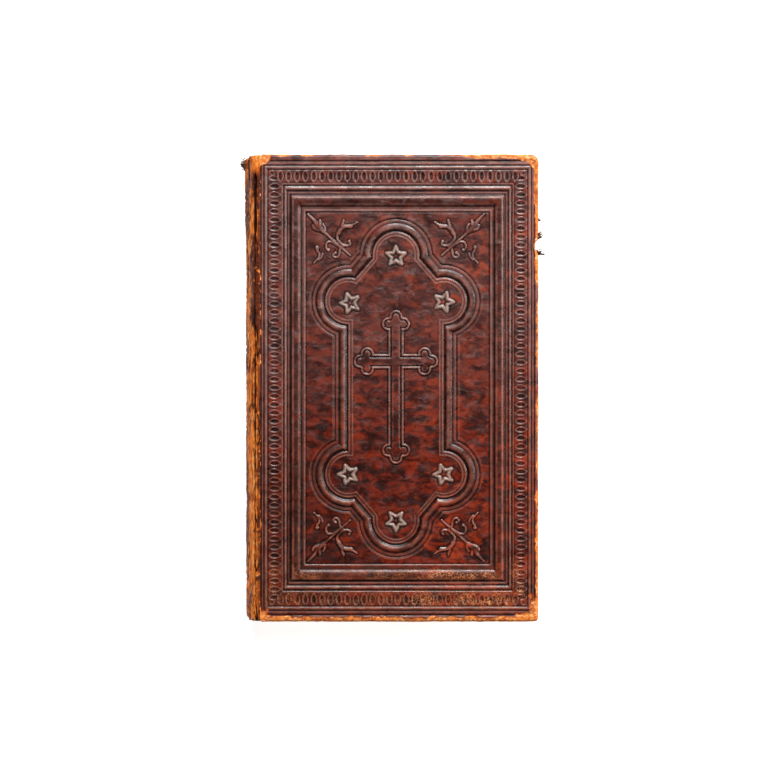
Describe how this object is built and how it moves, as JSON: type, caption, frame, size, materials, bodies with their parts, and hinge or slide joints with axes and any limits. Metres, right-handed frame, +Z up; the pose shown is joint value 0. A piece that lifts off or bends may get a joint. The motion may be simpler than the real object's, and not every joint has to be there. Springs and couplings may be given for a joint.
{
  "type": "prayer book",
  "caption": "Thick pocket prayer book in embossed brown leather with a cross on the cover, rounded spine, hinged covers and leaves that fan open.",
  "frame": {"origin": "centre of the footprint of the shut book, on the surface that it lies on", "axes": "+X from the spine to the fore-edge, +Y to the head, +Z up through the front cover"},
  "size_m": [0.107, 0.17, 0.036],
  "materials": {
    "cover_leather": "dark purple-brown embossed leather with red-brown clouding, worn orange at the edges",
    "spine_leather": "cracked tan and brown leather, worn",
    "millboard": "grey-brown pressed board",
    "endpaper": "aged cream laid paper, foxed",
    "paper": "aged cream paper with browned edges",
    "hemp_cord": "twisted hemp cord",
    "linen": "linen thread and coarse linen lining",
    "silk_band": "worked two-colour thread"
  },
  "bodies": {
    "text_block": {"section_01": "paper", "section_02": "paper", "section_03": "paper", "section_04": "paper", "section_05": "paper", "section_06": "paper", "section_07": "paper", "section_08": "paper", "section_09": "paper", "section_10": "paper", "section_11": "paper", "section_12": "paper", "section_13": "paper", "section_14": "paper", "section_15": "paper", "section_16": "paper", "sewing_cord_1": "hemp_cord", "sewing_cord_2": "hemp_cord", "sewing_cord_3": "hemp_cord", "sewing_cord_4": "hemp_cord", "kettle_stitch_head": "linen", "kettle_stitch_tail": "linen", "head_band": "silk_band", "tail_band": "silk_band", "spine_lining": "linen", "spine_leather": "spine_leather", "front_joint_leather": "spine_leather", "back_joint_leather": "spine_leather"},
    "front_cover": {"front_cover_leather": "cover_leather", "front_board": "millboard", "front_pastedown": "endpaper"},
    "back_cover": {"back_cover_leather": "cover_leather", "back_board": "millboard", "back_pastedown": "endpaper"},
    "front_leaf_body_1": {"front_flyleaf": "endpaper"},
    "front_leaf_body_2": {"front_leaf_1": "paper"},
    "front_leaf_body_3": {"front_leaf_2": "paper"},
    "front_leaf_body_4": {"front_leaf_3": "paper"},
    "front_leaf_body_5": {"front_leaf_4": "paper"},
    "front_leaf_body_6": {"front_leaf_5": "paper"},
    "front_leaf_body_7": {"front_leaf_6": "paper"},
    "front_leaf_body_8": {"front_leaf_7": "paper"},
    "back_leaf_body_1": {"back_flyleaf": "endpaper"},
    "back_leaf_body_2": {"back_leaf_1": "paper"},
    "back_leaf_body_3": {"back_leaf_2": "paper"}
  },
  "joints": [
    {"name": "front_cover_hinge", "type": "hinge", "parent": "text_block", "child": "front_cover", "pos_m": [-0.0491, 0, 0.0326], "axis": [0, -1, 0], "range_deg": [0, 180], "deforming": ["front_joint_leather"]},
    {"name": "back_cover_hinge", "type": "hinge", "parent": "text_block", "child": "back_cover", "pos_m": [-0.0491, 0, 0.0034], "axis": [0, 1, 0], "range_deg": [0, 180], "deforming": ["back_joint_leather"]},
    {"name": "front_flyleaf_turn", "type": "hinge", "parent": "text_block", "child": "front_leaf_body_1", "pos_m": [-0.047, 0, 0.03127], "axis": [0, -1, 0], "range_deg": [0, 127.8]},
    {"name": "front_leaf_1_turn", "type": "hinge", "parent": "text_block", "child": "front_leaf_body_2", "pos_m": [-0.047, 0, 0.03127], "axis": [0, -1, 0], "range_deg": [0, 109.8]},
    {"name": "front_leaf_2_turn", "type": "hinge", "parent": "text_block", "child": "front_leaf_body_3", "pos_m": [-0.047, 0, 0.03127], "axis": [0, -1, 0], "range_deg": [0, 92.7]},
    {"name": "front_leaf_3_turn", "type": "hinge", "parent": "text_block", "child": "front_leaf_body_4", "pos_m": [-0.047, 0, 0.03127], "axis": [0, -1, 0], "range_deg": [0, 75.6]},
    {"name": "front_leaf_4_turn", "type": "hinge", "parent": "text_block", "child": "front_leaf_body_5", "pos_m": [-0.047, 0, 0.03127], "axis": [0, -1, 0], "range_deg": [0, 59.4]},
    {"name": "front_leaf_5_turn", "type": "hinge", "parent": "text_block", "child": "front_leaf_body_6", "pos_m": [-0.047, 0, 0.03127], "axis": [0, -1, 0], "range_deg": [0, 44.1]},
    {"name": "front_leaf_6_turn", "type": "hinge", "parent": "text_block", "child": "front_leaf_body_7", "pos_m": [-0.047, 0, 0.03127], "axis": [0, -1, 0], "range_deg": [0, 28.8]},
    {"name": "front_leaf_7_turn", "type": "hinge", "parent": "text_block", "child": "front_leaf_body_8", "pos_m": [-0.047, 0, 0.03127], "axis": [0, -1, 0], "range_deg": [0, 14.4]},
    {"name": "back_flyleaf_turn", "type": "hinge", "parent": "text_block", "child": "back_leaf_body_1", "pos_m": [-0.047, 0, 0.00393], "axis": [0, 1, 0], "range_deg": [0, 108]},
    {"name": "back_leaf_1_turn", "type": "hinge", "parent": "text_block", "child": "back_leaf_body_2", "pos_m": [-0.047, 0, 0.00393], "axis": [0, 1, 0], "range_deg": [0, 72]},
    {"name": "back_leaf_2_turn", "type": "hinge", "parent": "text_block", "child": "back_leaf_body_3", "pos_m": [-0.047, 0, 0.00393], "axis": [0, 1, 0], "range_deg": [0, 36]}
  ],
  "couplings": [
    {"joint": "front_flyleaf_turn", "follows": "front_cover_hinge", "ratio": 0.71},
    {"joint": "front_leaf_1_turn", "follows": "front_cover_hinge", "ratio": 0.61},
    {"joint": "front_leaf_2_turn", "follows": "front_cover_hinge", "ratio": 0.515},
    {"joint": "front_leaf_3_turn", "follows": "front_cover_hinge", "ratio": 0.42},
    {"joint": "front_leaf_4_turn", "follows": "front_cover_hinge", "ratio": 0.33},
    {"joint": "front_leaf_5_turn", "follows": "front_cover_hinge", "ratio": 0.245},
    {"joint": "front_leaf_6_turn", "follows": "front_cover_hinge", "ratio": 0.16},
    {"joint": "front_leaf_7_turn", "follows": "front_cover_hinge", "ratio": 0.08},
    {"joint": "back_flyleaf_turn", "follows": "back_cover_hinge", "ratio": 0.6},
    {"joint": "back_leaf_1_turn", "follows": "back_cover_hinge", "ratio": 0.4},
    {"joint": "back_leaf_2_turn", "follows": "back_cover_hinge", "ratio": 0.2}
  ]
}
